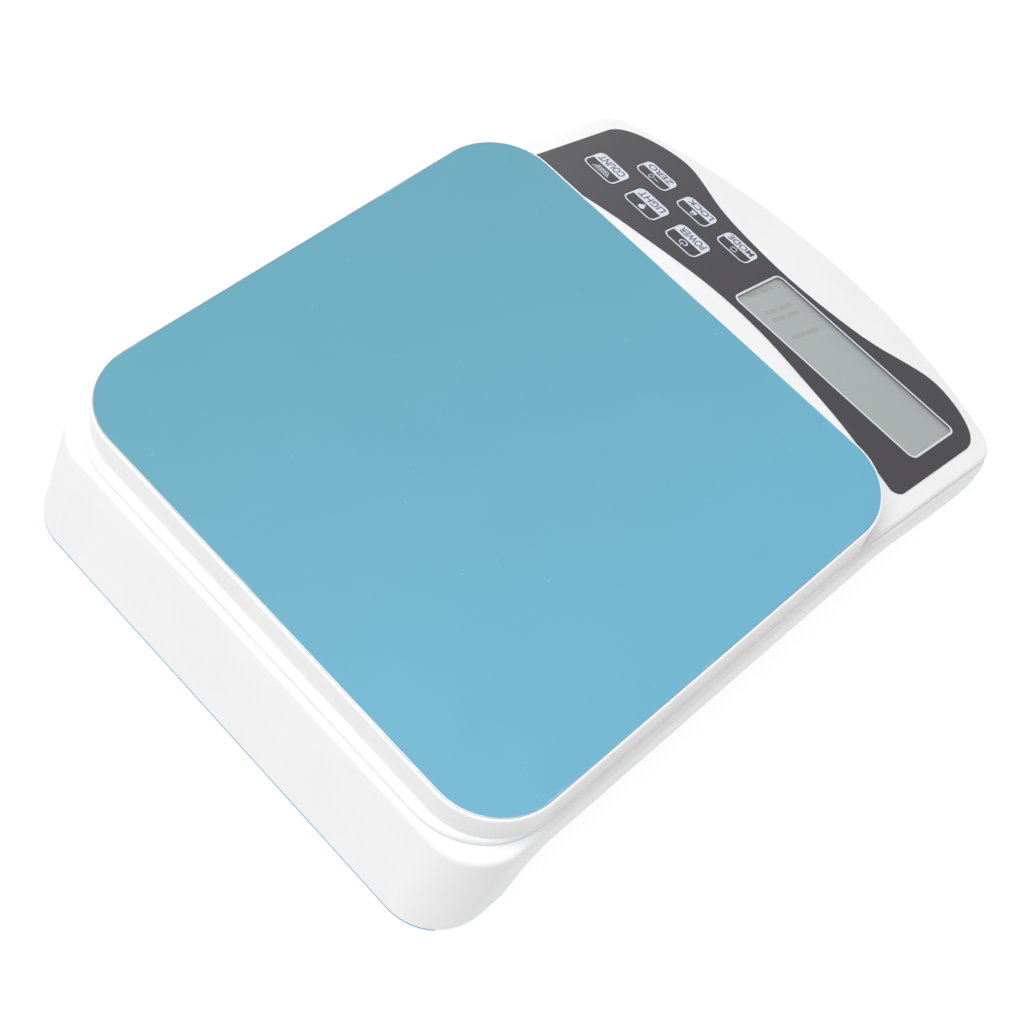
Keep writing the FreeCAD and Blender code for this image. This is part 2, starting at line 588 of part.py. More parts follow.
# ---- weighing platform --------------------------------------------------------------------------
def around_film(grow, z):
    return rounded_wire(FILM_X + 2 * grow, FILM_Y + 2 * grow, FILM_R + grow, 0, PLATFORM_Y, z)


def protective_film():
    return prism(around_film(0, FILM_TOP - FILM_T), FILM_T)


def platform_plate():
    top = FILM_TOP - FILM_T
    plate = prism(around_film(PLATE_MARGIN, top - PLATE_T), PLATE_T)
    return plate.makeFillet(0.15, [e for e in plate.Edges if e.BoundBox.ZMin > top - 0.01])


def platform_pan():
    """Plastic tray under the plate: a roof with a rounded rim, a skirt, ribs and pad sockets."""
    rim = FILM_TOP - FILM_T - 0.25
    seat = FILM_TOP - FILM_T - PLATE_T
    under = seat - PAN_ROOF
    block = prism(around_film(PAN_MARGIN, PAN_BOTTOM), rim - PAN_BOTTOM)
    block = block.makeFillet(PAN_RIM_R, [e for e in block.Edges if e.BoundBox.ZMin > rim - 0.01])
    pan = block.cut(prism(around_film(PLATE_MARGIN + PLATE_GAP, seat), FILM_TOP))
    pan = pan.cut(prism(around_film(PAN_MARGIN - PAN_SKIRT, 0), under))

    low, half, reach_x, reach_y = under - PAN_RIB_DEPTH, PAN_RIB_T / 2, FILM_X / 2 - 1, FILM_Y / 2 - 1
    ribs = [box(x - half, x + half, PLATFORM_Y - reach_y, PLATFORM_Y + reach_y, low, under)
            for x in (-PAN_RIB_X, 0, PAN_RIB_X)]
    ribs += [box(-reach_x, reach_x, PLATFORM_Y + y - half, PLATFORM_Y + y + half, low, under)
             for y in (-PAN_RIB_Y, 0, PAN_RIB_Y)]
    sockets = [rod(PAD_R + 2.2, x, y, under - 2.5, under) for x, y in POSTS]
    pan = pan.fuse(ribs + sockets)
    return pan.cut([rod(PAD_R + 0.4, x, y, 0, under) for x, y in POSTS]).removeSplitter()


def load_spider():
    """Pressed bracket on the load cell's free end, with a post up to each platform pad."""
    half, reach, top = SPIDER_SPINE_W / 2, SPIDER_ARM_Y + SPIDER_ARM_W / 2, SPIDER_Z + SPIDER_T
    spine = box(-half, half, PLATFORM_Y - reach, PLATFORM_Y + reach, SPIDER_Z, top)
    arms = [rounded_plate(SPIDER_ARM_L, SPIDER_ARM_W, SPIDER_END_R, 0, PLATFORM_Y + side * SPIDER_ARM_Y,
                          SPIDER_Z, top) for side in (-1, 1)]
    posts = [rod(POST_R, x, y, SPIDER_Z, pad_bottom()) for x, y in POSTS]
    frame = fuse([spine] + arms + posts)
    return frame.cut([rod(M4_CLEAR_R, 0, free_end_y() + dy, 0, FILM_TOP) for dy in screw_offsets()])


def pad_bottom():
    return FILM_TOP - FILM_T - PLATE_T - PAN_ROOF - 0.1 - PAD_T


def platform_pads():
    return group([rod(PAD_R, x, y, pad_bottom(), pad_bottom() + PAD_T) for x, y in POSTS])


def free_end_y():
    return PLATFORM_Y - CELL_L / 2 + CELL_END / 2


def fixed_end_y():
    return PLATFORM_Y + CELL_L / 2 - CELL_END / 2


def screw_offsets():
    return (-CELL_SCREW_SPREAD, CELL_SCREW_SPREAD)


def spider_spacer():
    gap = DEFLECTION + 0.1
    y = free_end_y()
    block = box(-CELL_W / 2, CELL_W / 2, y - CELL_END / 2, y + CELL_END / 2, CELL_TOP + gap, SPIDER_Z)
    return block.cut([rod(M4_CLEAR_R, 0, y + dy, 0, FILM_TOP) for dy in screw_offsets()])


def spider_screws():
    """Cap screws with a round drive recess."""
    top, head, recess_r, recess_depth = SPIDER_Z + SPIDER_T, 3.0, 1.5, 1.8
    screws = []
    for y in [free_end_y() + dy for dy in screw_offsets()]:
        screw = rod(M4_HEAD_R, 0, y, top, top + head).fuse(rod(M4_R, 0, y, CELL_TOP - 8.0, top))
        screws.append(screw.cut(rod(recess_r, 0, y, top + head - recess_depth, top + head + 1)))
    return group(screws)


def load_cell():
    """Bending-beam load cell: a bar with two joined bores that leave thin flexures."""
    half, reach, slot = CELL_W / 2, CELL_L / 2, CELL_SLOT / 2
    bar = box(-half, half, PLATFORM_Y - reach, PLATFORM_Y + reach, CELL_BOTTOM, CELL_TOP)
    middle = (CELL_BOTTOM + CELL_TOP) / 2
    cuts = [Part.makeCylinder(CELL_BORE_R, 2 * CELL_W, Vector(-CELL_W, PLATFORM_Y + dy, middle),
                              Vector(1, 0, 0)) for dy in (-CELL_BORE_Y, CELL_BORE_Y)]
    cuts.append(box(-CELL_W, CELL_W, PLATFORM_Y - CELL_BORE_Y, PLATFORM_Y + CELL_BORE_Y,
                    middle - slot, middle + slot))
    for dy in screw_offsets():
        cuts.append(rod(2.4, 0, free_end_y() + dy, CELL_TOP - 9.0, FILM_TOP))
        cuts.append(rod(2.05, 0, fixed_end_y() + dy, 0, CELL_BOTTOM + 8.0))
    return bar.cut(cuts)


def load_cell_spacer():
    y = fixed_end_y()
    block = box(-CELL_W / 2, CELL_W / 2, y - CELL_END / 2, y + CELL_END / 2, CELL_PAD_Z, CELL_BOTTOM)
    return block.cut([rod(M4_CLEAR_R, 0, y + dy, 0, FILM_TOP) for dy in screw_offsets()])


def load_cell_screws():
    return group([rod(M4_HEAD_R, 0, y, BASE_Z + 0.5, CELL_HEAD_Z).fuse(
        rod(M4_R, 0, y, CELL_HEAD_Z, CELL_BOTTOM + 7.0))
        for y in [fixed_end_y() + dy for dy in screw_offsets()]])


def gauge_potting():
    """Sealant over the strain gauges, above and below the flexures."""
    coat, length, radius = 0.7, 30.0, 2.5
    spans = ((CELL_TOP, CELL_TOP + coat), (CELL_BOTTOM - coat, CELL_BOTTOM))
    return group([rounded_plate(CELL_W - 1, length, radius, 0, PLATFORM_Y, z0, z1) for z0, z1 in spans])


def overload_stops():
    """Screwed posts that catch the bracket if the platform is overloaded."""
    top, tip, step = SPIDER_Z - DEFLECTION - 0.3, 4.0, 0.8
    return group([rod(STOP_R, x, y, FLOOR_Z, top - tip).fuse(rod(STOP_R - step, x, y, top - tip, top))
                  for x, y in STOPS])


# ---- wiring and battery -------------------------------------------------------------------------
def load_cell_cable():
    """Screened lead from the load cell to the board's connector."""
    x, z = CELL_W / 2 - 1.6, CELL_BOTTOM - 2.0
    plug = PANEL.multVec(Vector(0, PLUG_REAR + 0.6, PCB_TOP - PCB_T - 2.6))
    route = [Vector(x, PLATFORM_Y - 15.1, z + 0.2), Vector(x, -25, z), Vector(0, -50, z), plug]
    return bent_tube(route, CABLE_R, CABLE_BEND)


def battery_leads():
    """Two insulated wires from the battery bay to the board."""
    leads = []
    for i in (0, 1):
        end = PANEL.multVec(Vector(-22 - 4 * i, PCB_REAR + 0.6, PCB_TOP - PCB_T / 2))
        route = [Vector(-30 - 6 * i, BAY_Y0 - BAY_WALL - 0.1, 12), Vector(-30 - 6 * i, -10, 10),
                 Vector(-24 - 4 * i, -45, 10), end]
        leads.append(bent_tube(route, LEAD_R, LEAD_BEND))
    return group(leads)


def battery_cells():
    """Three AA cells side by side, alternately turned."""
    can_l = AA_L - NIB_L
    cells = []
    for row, y in enumerate(CELL_ROWS):
        way = 1 if row % 2 == 0 else -1
        base = AA_X0 if way > 0 else AA_X0 + AA_L
        along = Vector(way, 0, 0)
        can = Part.makeCylinder(AA_R, can_l, Vector(base, y, AA_Z), along)
        cells.append(can.fuse(Part.makeCylinder(NIB_R, NIB_L, Vector(base + way * can_l, y, AA_Z), along)))
    return group(cells)


def battery_contacts():
    """Sprung leaf contacts at both ends of the bay."""
    z, half_w, half_h = AA_Z, CONTACT_W / 2, CONTACT_H / 2
    leaves = []
    for y in CELL_ROWS:
        for wall_x, cell_x, way in ((BAY_X0, AA_X0, 1), (BAY_X1, AA_X0 + AA_L, -1)):
            low, high = sorted((wall_x, wall_x + way * CONTACT_T))
            back = box(low, high, y - half_w, y + half_w, z - half_h, z + half_h)
            tip = cell_x - way * 0.05
            outline = [(wall_x, z + 5), (wall_x, z + 4.4), (tip - way * CONTACT_T, z), (wall_x, z - 4.0),
                       (wall_x, z - 4.6), (tip, z)]
            points = [Vector(px, y - LEAF_W / 2, pz) for px, pz in outline]
            leaf = Part.Face(Part.makePolygon(points + points[:1])).extrude(Vector(0, LEAF_W, 0))
            leaves.append(back.fuse(leaf).removeSplitter())
    return group(leaves)


def battery_door():
    """Cover of the battery bay. It turns on its rounded end, held by two tabs inside the bay."""
    axis_x, axis_z = DOOR_X1 - DOOR_T / 2, DOOR_Z + DOOR_T / 2
    plate = box(DOOR_X0, axis_x, DOOR_Y0, DOOR_Y1, DOOR_Z, DOOR_Z + DOOR_T)
    end = Part.makeCylinder(DOOR_T / 2, DOOR_Y1 - DOOR_Y0, Vector(axis_x, DOOR_Y0, axis_z), Vector(0, 1, 0))
    tabs = []
    for y in [(a + b) / 2 for a, b in zip(CELL_ROWS, CELL_ROWS[1:])]:
        tabs.append(box(axis_x - 3.0, axis_x - 0.6, y - 2, y + 2, DOOR_Z + 1.0, FLOOR_Z + 1.2))
        tabs.append(box(axis_x - 3.0, axis_x + 2.4, y - 2, y + 2, FLOOR_Z + 0.2, FLOOR_Z + 1.2))
    grips = [box(DOOR_X0 + 4 + 2 * i, DOOR_X0 + 5 + 2 * i, PLATFORM_Y - 8, PLATFORM_Y + 8, 0, DOOR_Z + 0.4)
             for i in range(4)]
    return fuse([plate, end] + tabs).cut(grips)


# ---- output -------------------------------------------------------------------------------------
NODES = {
    "upper_housing": upper_housing, "base_cover": base_cover, "case_screws": case_screws,
    "rubber_feet": rubber_feet, "panel_overlay": panel_overlay, "display_window": display_window,
    "lcd_frame": lcd_frame, "lcd_glass": lcd_glass, "backlight_plate": backlight_plate,
    "elastomer_strips": elastomer_strips, "main_pcb": main_pcb, "pcb_screws": pcb_screws,
    "controller_chip": controller_chip, "buzzer": buzzer, "cable_connector": cable_connector,
    "tact_switches": tact_switches, "protective_film": protective_film,
    "platform_plate": platform_plate, "platform_pan": platform_pan, "load_spider": load_spider,
    "platform_pads": platform_pads, "spider_spacer": spider_spacer, "spider_screws": spider_screws,
    "load_cell": load_cell, "load_cell_spacer": load_cell_spacer, "load_cell_screws": load_cell_screws,
    "gauge_potting": gauge_potting, "overload_stops": overload_stops,
    "load_cell_cable": load_cell_cable, "battery_leads": battery_leads,
    "battery_cells": battery_cells, "battery_contacts": battery_contacts, "battery_door": battery_door,
}


def main():
    os.makedirs("parts", exist_ok=True)
    for name, make in NODES.items():
        make().exportStep(f"parts/{name}.step")
    for name, place in key_places().items():
        key(*place).exportStep(f"parts/{name}.step")


main()
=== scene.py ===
"""Digital gram scale: finishes, printed key legends, display segments, lights and camera."""

import json
import math

import bpy
from bpy.props import FloatProperty, FloatVectorProperty, PointerProperty
from mathutils import Euler, Matrix, Vector


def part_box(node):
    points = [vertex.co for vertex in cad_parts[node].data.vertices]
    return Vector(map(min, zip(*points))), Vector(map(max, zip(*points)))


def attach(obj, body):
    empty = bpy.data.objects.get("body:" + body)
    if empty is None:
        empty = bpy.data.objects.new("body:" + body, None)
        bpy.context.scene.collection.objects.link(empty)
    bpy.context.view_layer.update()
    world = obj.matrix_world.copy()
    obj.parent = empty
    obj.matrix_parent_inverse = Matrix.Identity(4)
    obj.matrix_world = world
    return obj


bl_info = {
    "name": "Digital gram scale",
    "version": (1, 0, 0),
    "blender": (4, 5, 0),
    "location": "View3D > Sidebar > Gram scale",
    "description": "Finishes and printed details of a low bench scale, round its packed model",
    "category": "Object",
}

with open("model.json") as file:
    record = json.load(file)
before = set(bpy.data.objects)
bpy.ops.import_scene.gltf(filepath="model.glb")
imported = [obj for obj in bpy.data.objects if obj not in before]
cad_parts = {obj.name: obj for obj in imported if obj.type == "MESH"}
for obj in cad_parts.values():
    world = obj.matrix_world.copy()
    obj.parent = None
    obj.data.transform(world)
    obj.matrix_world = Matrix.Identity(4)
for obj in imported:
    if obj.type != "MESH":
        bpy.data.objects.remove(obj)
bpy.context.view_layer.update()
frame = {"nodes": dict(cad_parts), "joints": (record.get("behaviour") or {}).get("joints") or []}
MM = 0.001


# ---- the panel's own frame ----------------------------------------------------------------------
def panel_matrix():
    """X to the right, Y up the slope and Z out of the panel, with Z zero on the housing's surface."""
    joint = next(j for j in frame["joints"] if j["name"] == "key_power_press")
    normal = Vector(joint["axis"]).normalized()
    across = Vector((1, 0, 0))
    level = min(normal.dot(v.co) for v in frame["nodes"]["panel_overlay"].data.vertices)
    axes = Matrix((across, normal.cross(across), normal)).transposed()
    return Matrix.Translation(normal * level) @ axes.to_4x4()


PANEL = panel_matrix()


def panel_box(node):
    """Lowest and highest corner of a CAD node in the panel's frame."""
    back = PANEL.inverted()
    points = [back @ v.co for v in frame["nodes"][node].data.vertices]
    low = Vector([min(p[i] for p in points) for i in range(3)])
    high = Vector([max(p[i] for p in points) for i in range(3)])
    return low, high


# ---- shader building ----------------------------------------------------------------------------
def srgb(red, green, blue):
    """A colour given as it looks on a screen, 0 to 255, as the linear values a shader takes."""
    channels = [c / 255 for c in (red, green, blue)]
    return tuple(c / 12.92 if c <= 0.04045 else ((c + 0.055) / 1.055) ** 2.4 for c in channels)


class Value:
    """One output socket of a shader tree. Arithmetic on it adds Math nodes."""

    def __init__(self, shader, socket):
        self.shader = shader
        self.socket = socket

    def math(self, operation, *inputs):
        return self.shader.node("ShaderNodeMath", {"operation": operation}, dict(enumerate(inputs)))

    def __add__(self, other):
        return self.math("ADD", self, other)

    def __sub__(self, other):
        return self.math("SUBTRACT", self, other)

    def __rsub__(self, other):
        return self.math("SUBTRACT", other, self)

    def __mul__(self, other):
        return self.math("MULTIPLY", self, other)

    def __truediv__(self, other):
        return self.math("DIVIDE", self, other)

    def __abs__(self):
        return self.math("ABSOLUTE", self)

    __radd__ = __add__
    __rmul__ = __mul__

    def above(self, level, softness):
        """0 below the level, rising smoothly to 1 over the softness."""
        return self.shader.node(
            "ShaderNodeMapRange", {"interpolation_type": "SMOOTHSTEP"},
            {"Value": self, "From Min": level, "From Max": level + softness})

    def larger(self, other):
        return self.math("MAXIMUM", self, other)


class Finish:
    """One material: a Principled surface and the nodes that vary it."""

    def __init__(self, name, colour, roughness, **constants):
        self.material = bpy.data.materials.new(name)
        self.material.use_nodes = True
        self.tree = self.material.node_tree
        self.surface = self.tree.nodes["Principled BSDF"]
        self.colour = (*colour, 1.0)
        self.feed("Base Color", self.colour)
        self.feed("Roughness", roughness)
        for socket, value in constants.items():
            self.feed(socket.replace("_", " "), value)

    def feed(self, socket, value, node=None):
        """Sets or links one input, by name or number, of the surface or of another node."""
        target = (node or self.surface).inputs[socket]
        if isinstance(value, Value):
            self.tree.links.new(value.socket, target)
        else:
            target.default_value = value

    def node(self, kind, settings, inputs, output=0):
        """Any node: its settings first, then its sockets, and the output that is wanted."""
        made = self.tree.nodes.new(kind)
        for name, value in settings.items():
            setattr(made, name, value)
        for name, value in inputs.items():
            self.feed(name, value, made)
        return Value(self, made.outputs[output])

    def place(self):
        """A point's position in the scale's own frame, in metres."""
        return self.node("ShaderNodeTexCoord", {}, {}, "Object")

    def split(self, vector):
        """The three parts of a vector."""
        outputs = self.node("ShaderNodeSeparateXYZ", {}, {"Vector": vector}).socket.node.outputs
        return [Value(self, outputs[axis]) for axis in "XYZ"]

    def stretched(self, vector, scale, turn=0.0):
        """A vector scaled along each axis and turned about Z, for marks that run one way."""
        return self.node("ShaderNodeMapping", {"vector_type": "POINT"},
                         {"Vector": vector, "Scale": scale, "Rotation": (0, 0, turn)})

    def noise(self, vector, size, detail=3.0, roughness=0.5):
        """Noise whose features are about size metres across, from 0 to 1."""
        return self.node("ShaderNodeTexNoise", {"noise_dimensions": "3D"},
                         {"Vector": vector, "Scale": 1 / size, "Detail": detail, "Roughness": roughness})

    def mix(self, share, first, second):
        """A colour between two others: share 0 gives the first and 1 the second."""
        first, second = [c if isinstance(c, Value) else (*c[:3], 1.0) for c in (first, second)]
        return self.node("ShaderNodeMix", {"data_type": "RGBA"}, {0: share, 6: first, 7: second}, 2)

    def bump(self, height, strength, distance):
        """Small relief from a height between 0 and 1, distance metres deep at full strength."""
        self.feed("Normal", self.node("ShaderNodeBump", {}, {
            "Strength": strength, "Distance": distance, "Height": height}))


def shaded(colour, factor):
    """A colour made darker, below 1, or lighter, above it."""
    return tuple(c * factor for c in colour[:3])


def wear(node_names, finish):
    """Gives CAD nodes a finish."""
    for name in node_names:
        materials = frame["nodes"][name].data.materials
        materials.clear()
        materials.append(finish.material)


# ---- finishes -----------------------------------------------------------------------------------
def moulded(name, colour, roughness=0.34, grain=0.35 * MM, depth=0.012 * MM, **constants):
    """Injection-moulded plastic: fine grain, faint flow clouds and uneven gloss."""
    finish = Finish(name, colour, roughness, **constants)
    place = finish.place()
    clouds = finish.noise(place, 35 * MM, 4.0)
    finish.feed("Base Color", finish.mix(clouds.above(0.35, 0.3), shaded(colour, 0.975), colour))
    finish.feed("Roughness", roughness - 0.05 + 0.1 * finish.noise(place, 12 * MM, 3.0))
    finish.bump(finish.noise(place, grain, 2.0), 0.35, depth)
    return finish


def film_finish(look):
    """Blue peel-off film on bright steel: an even blue of its own, with painted light that makes it
    lighter towards its rear left corner, and scuffs, specks and frayed edges.
    """
    low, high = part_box("protective_film")
    half, middle = (high - low) / 2, (high + low) / 2
    finish = Finish("film_blue", look.film_shaded_end, 0.3, Specular_IOR_Level=0.5, Coat_Weight=0.15,
                    Coat_Roughness=0.12)
    place = finish.place()
    x, y, _ = finish.split(place)
    patches = finish.noise(place, 30 * MM, 1.0)

    # painted light: the film gets lighter from its front right corner to its rear left one, with faint
    # clouds of uneven colour
    along = 0.5 - (x - middle.x) / (2 * half.x) + 0.15 * (y - middle.y) / (2 * half.y)
    clouds = finish.noise(place, 60 * MM, 2.0)
    lit_tint = finish.mix((along + 0.25 * clouds - 0.12).above(0.0, 1.0), look.film_shaded_end, look.film_lit_end)

    # long thin scratches, only in some patches, and small specks of dust
    scuffs = finish.noise(finish.stretched(place, (0.16, 5.0, 1.0), 0.9), 4 * MM, 2.0)
    scratches = scuffs.above(0.76, 0.05) * patches.above(0.56, 0.1)
    specks = finish.noise(place, 1.1 * MM, 1.0).above(0.79, 0.05)
    marks = scratches.larger(specks)

    # the edge, seen from inside, is below zero by the distance to it; fine noise carries the fray across
    edge = (abs(x - middle.x) - half.x).larger(abs(y - middle.y) - half.y)
    fray = (edge + MM * finish.noise(place, 2.5 * MM, 4.0, 0.7)).above(0.0, 0.3 * MM)
    fray = fray * patches.above(0.54, 0.08)

    lit_tint = finish.mix(marks * 0.35, lit_tint, look.film_mark)
    finish.feed("Base Color", finish.mix(fray * 0.3, lit_tint, look.film_mark))
    finish.feed("Roughness", 0.26 + 0.12 * finish.noise(place, 18 * MM, 4.0) + 0.2 * marks)
    finish.bump(finish.noise(place, 20 * MM, 2.0) + 0.15 * scuffs, 0.25, 0.08 * MM)
    return finish


def brushed(name, colour, roughness=0.3):
    """Rolled and brushed metal: long fine lines in its gloss."""
    finish = Finish(name, colour, roughness, Metallic=1.0)
    place = finish.place()
    lines = finish.noise(finish.stretched(place, (1.0, 40.0, 40.0)), 10 * MM, 4.0)
    finish.feed("Base Color", finish.mix(lines, shaded(colour, 0.86), colour))
    finish.feed("Roughness", roughness + 0.15 * lines)
    finish.bump(lines, 0.2, 0.01 * MM)
    return finish


def printed_skin(name, colour):
    """Reverse-printed plastic film with a fine velvet texture."""
    finish = Finish(name, colour, 0.5, Specular_IOR_Level=0.5)
    place = finish.place()
    clouds = finish.noise(place, 20 * MM, 3.0)
    finish.feed("Base Color", finish.mix(clouds, shaded(colour, 0.93), shaded(colour, 1.06)))
    finish.feed("Roughness", 0.36 + 0.1 * clouds)
    finish.bump(finish.noise(place, 0.28 * MM, 2.0), 0.4, 0.01 * MM)
    return finish


def ink(name, colour):
    """Screen-printed ink, a little uneven in cover."""
    finish = Finish(name, colour, 0.5)
    place = finish.place()
    cover = finish.noise(place, 0.6 * MM, 3.0)
    finish.feed("Base Color", finish.mix(cover, shaded(colour, 0.94), colour))
    finish.feed("Roughness", 0.42 + 0.12 * finish.noise(place, 2 * MM, 2.0))
    return finish


def display_finish(look):
    """Unlit liquid-crystal glass: grey-green, with painted sheen that makes it a little lighter towards
    its right end.
    """
    low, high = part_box("lcd_glass")
    half, middle = (high - low) / 2, (high + low) / 2
    finish = Finish("display_grey_green", look.display, 0.3)
    place = finish.place()
    x, _, _ = finish.split(place)
    # painted sheen: the glass gets a little lighter towards its right end
    along = (x - middle.x) / (2 * half.x) + 0.5
    finish.feed("Base Color", finish.mix(along.above(0.1, 0.9), look.display, look.display_lit_end))
    finish.feed("Roughness", 0.3 + 0.08 * finish.noise(place, 10 * MM, 2.0))
    return finish


def clear_finish(look):
    """Clear window plastic, faintly uneven in gloss."""
    finish = Finish("window_clear", (0.95, 0.97, 0.98), 0.08, Alpha=look.window_alpha)
    finish.feed("Roughness", 0.06 + 0.08 * finish.noise(finish.place(), 12 * MM, 3.0))
    return finish


def rubber_finish(name, colour):
    """Matt rubber or soft cable jacket, patchy and finely pitted."""
    finish = Finish(name, colour, 0.75)
    place = finish.place()
    finish.feed("Base Color", finish.mix(finish.noise(place, 4 * MM, 3.0), shaded(colour, 0.8), colour))
    finish.bump(finish.noise(place, 0.6 * MM, 3.0), 0.5, 0.03 * MM)
    return finish


def board_finish():
    """Solder mask over copper tracks that show as a slightly paler green."""
    mask, track = srgb(18, 74, 44), srgb(34, 108, 62)
    finish = Finish("board_green", mask, 0.35)
    waves = finish.node("ShaderNodeTexWave", {"wave_type": "BANDS", "bands_direction": "X"},
                        {"Vector": finish.place(), "Scale": 320.0, "Distortion": 1.5, "Detail": 1.0,
                         "Detail Scale": 60.0})
    lanes = waves.above(0.62, 0.08)
    finish.feed("Base Color", finish.mix(lanes, mask, track))
    finish.bump(lanes, 0.3, 0.03 * MM)
    return finish


def sleeve_finish():
    """Printed sleeve of a plain battery cell, with a bright band at one end."""
    low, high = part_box("battery_cells")
    dark, band = srgb(48, 52, 58), srgb(196, 132, 64)
    finish = Finish("battery_sleeve", dark, 0.3, Metallic=0.6)
    x, _, _ = finish.split(finish.place())
    share = (x - low.x) / (high.x - low.x)
    finish.feed("Base Color", finish.mix(share.above(0.72, 0.01), dark, band))
    return finish


# ---- mesh building ------------------------------------------------------------------------------
def arc(x, y, radius, start, end, steps=24):
    """Points along an arc, with angles in degrees."""
    angles = [math.radians(start + (end - start) * i / steps) for i in range(steps + 1)]
    return [(x + radius * math.cos(a), y + radius * math.sin(a)) for a in angles]


def rounded_loop(x0, x1, y0, y1, lower, upper):
    """A rectangle's outline with one radius for its lower corners and one for its upper ones."""
    loop = []
    for x, y, radius, start in ((x1, y1, upper, 0), (x0, y1, upper, 90), (x0, y0, lower, 180),
                                (x1, y0, lower, 270)):
        sx, sy = (1 if x == x1 else -1), (1 if y == y1 else -1)
        if radius:
            loop += arc(x - sx * radius, y - sy * radius, radius, start, start + 90, steps=8)
        else:
            loop.append((x, y))
    return loop


def curved_bar(x, y, radius, width, start, end):
    """A bent bar of even width along an arc."""
    return arc(x, y, radius + width / 2, start, end) + arc(x, y, radius - width / 2, end, start)


def mesh_from_curve(name, curve):
    """Turns a curve or text into a plain mesh object."""
    holder = bpy.data.objects.new(name + "_curve", curve)
    bpy.context.scene.collection.objects.link(holder)
    bpy.context.view_layer.update()
    drawn = holder.evaluated_get(bpy.context.evaluated_depsgraph_get())
    mesh = bpy.data.meshes.new_from_object(drawn)
    bpy.data.objects.remove(holder)
    bpy.data.curves.remove(curve)
    mesh.name = name
    piece = bpy.data.objects.new(name, mesh)
    bpy.context.scene.collection.objects.link(piece)
    return piece


def printed(name, loops, thickness):
    """A thin flat print. Loops that lie inside others are holes in them, as in a stencil."""
    curve = bpy.data.curves.new(name, "CURVE")
    curve.dimensions = "2D"
    curve.fill_mode = "BOTH"
    curve.extrude = thickness / 2
    for loop in loops:
        spline = curve.splines.new("POLY")
        spline.points.add(len(loop) - 1)
        for point, (x, y) in zip(spline.points, loop):
            point.co = (x, y, 0, 1)
        spline.use_cyclic_u = True
    return mesh_from_curve(name, curve)


def lettered(name, word, height, width, thickness):
    """A word centred on the origin, scaled to a height and a width."""
    curve = bpy.data.curves.new(name, "FONT")
    curve.body = word
    curve.align_x = "CENTER"
    curve.align_y = "CENTER"
    curve.extrude = thickness / 2
    curve.resolution_u = 6
    curve.offset = 0.016        # a little bolder than the font is drawn
    piece = mesh_from_curve(name, curve)
    points = [v.co for v in piece.data.vertices]
    low = [min(p[i] for p in points) for i in (0, 1)]
    high = [max(p[i] for p in points) for i in (0, 1)]
    scale = Matrix.Diagonal((width / (high[0] - low[0]), height / (high[1] - low[1]), 1, 1))
    shift = Matrix.Translation((-(low[0] + high[0]) / 2, -(low[1] + high[1]) / 2, 0))
    piece.data.transform(scale @ shift)
    return piece


def lay_on_panel(piece, x, y, level, finish, body):
    """Places a flat piece on the panel, at a height above the housing, and ties it to a body."""
    piece.data.transform(PANEL @ Matrix.Translation((x, y, level)))
    piece.data.materials.clear()
    piece.data.materials.append(finish.material)
    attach(piece, body)


# ---- key symbols, drawn in a square of side 2 ---------------------------------------------------
def power_symbol():
    """An open ring with a stroke through its gap."""
    return [curved_bar(0, -0.1, 0.72, 0.24, 122, 418), rounded_loop(-0.12, 0.12, 0.05, 1.0, 0, 0.1)]


def lamp_symbol():
    """A bulb over two bars."""
    glass = arc(0, 0.25, 0.62, -52, 232) + [(-0.3, -0.42), (0.3, -0.42)]
    return [glass, rounded_loop(-0.28, 0.28, -0.72, -0.54, 0.05, 0.05),
            rounded_loop(-0.2, 0.2, -0.98, -0.84, 0.05, 0.05)]


def pieces_symbol():
    """A heap of counted pieces: rows of beads that narrow downwards."""
    pitch_x, pitch_y, top_row, bead = 0.42, 0.4, 0.6, 0.15
    beads = []
    for row, count in enumerate((9, 8, 7, 6)):
        for i in range(count):
            x = (i - (count - 1) / 2) * pitch_x
            beads.append(arc(x, top_row - pitch_y * row, bead, 0, 330, steps=11))
    return beads


def arrow(x, y, size, angle):
    """A triangle that points along an angle."""
    corners = [math.radians(angle + turn) for turn in (0, 125, 235)]
    return [(x + size * math.cos(a), y + size * math.sin(a)) for a in corners]


def cycle_symbol():
    """Two arrows that chase each other round a ring."""
    radius, width, sweep, head = 0.74, 0.22, 112, 0.34
    loops = []
    for start in (20, 200):
        end = start + sweep
        loops.append(curved_bar(0, 0, radius, width, start, end))
        tip = math.radians(end + 18)
        loops.append(arrow(radius * math.cos(tip), radius * math.sin(tip), head, end + 102))
    return loops


def lock_symbol():
    """A padlock with its keyhole."""
    return [rounded_loop(-0.72, 0.72, -0.9, 0.12, 0.14, 0.14), curved_bar(0, 0.36, 0.46, 0.2, 0, 180),
            rounded_loop(-0.1, 0.1, -0.55, -0.2, 0.09, 0.09)]


def zero_symbol():
    """An arrow that points to a nought."""
    narrow = 0.62
    nought = [(narrow * x, y) for x, y in curved_bar(0.9, 0, 0.8, 0.24, 0, 359.5)]
    return [nought, rounded_loop(-1.5, -0.75, -0.1, 0.1, 0, 0), arrow(-0.5, 0, 0.32, 0)]


KEYS = {
    "key_power": ("POWER", power_symbol), "key_light": ("LIGHT", lamp_symbol),
    "key_count": ("COUNT", pieces_symbol), "key_mode": ("MODE", cycle_symbol),
    "key_lock": ("LOCK", lock_symbol), "key_zero": ("ZERO", zero_symbol),
}


# ---- settings -----------------------------------------------------------------------------------
def colour_property(name, description, default):
    """A colour that the user can change, with its default as linear values."""
    return FloatVectorProperty(name=name, description=description, subtype="COLOR", size=3, min=0, max=1,
                               default=default)


